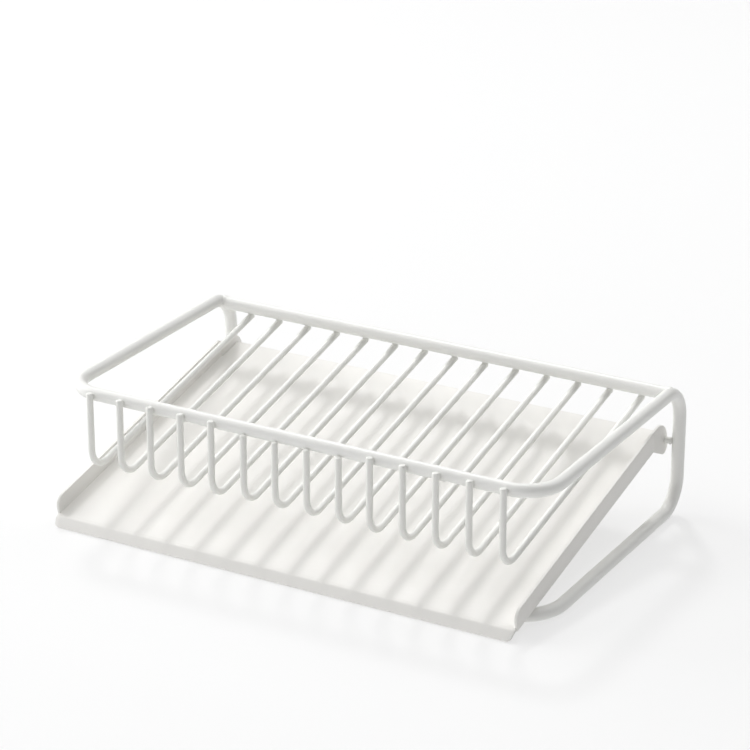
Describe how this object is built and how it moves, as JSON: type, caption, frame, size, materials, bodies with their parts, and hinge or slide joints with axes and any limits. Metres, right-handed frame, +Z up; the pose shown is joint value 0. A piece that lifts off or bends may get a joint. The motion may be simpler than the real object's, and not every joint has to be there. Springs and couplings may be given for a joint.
{
  "type": "waterfall soap dish",
  "caption": "White wire basket soap dish on a bent rod stand, with a sloping folded tray below that drains water forward over its lip.",
  "frame": {"origin": "on the surface that the dish stands on, under the middle of its length and depth", "axes": "+X to the right along the rails, +Y to the rear where the legs are, +Z up"},
  "size_m": [0.1594, 0.1048, 0.0419],
  "materials": {
    "rod_coat": "satin white powder coat",
    "wire_coat": "satin white powder coat",
    "sheet_coat": "satin white powder coat"
  },
  "bodies": {
    "stand": {"frame_loop": "rod_coat", "rear_bar": "rod_coat", "basket_wire_01": "wire_coat", "basket_wire_02": "wire_coat", "basket_wire_03": "wire_coat", "basket_wire_04": "wire_coat", "basket_wire_05": "wire_coat", "basket_wire_06": "wire_coat", "basket_wire_07": "wire_coat", "basket_wire_08": "wire_coat", "basket_wire_09": "wire_coat", "basket_wire_10": "wire_coat", "basket_wire_11": "wire_coat", "basket_wire_12": "wire_coat", "basket_wire_13": "wire_coat", "basket_wire_14": "wire_coat", "hinge_pin_left": "rod_coat", "hinge_pin_right": "rod_coat"},
    "tray": {"tray": "sheet_coat"}
  },
  "joints": [
    {"name": "tray_hinge", "type": "hinge", "parent": "stand", "child": "tray", "pos_m": [0, 0.049, 0.0223], "axis": [-1, 0, 0], "range_deg": [0, 6]}
  ]
}
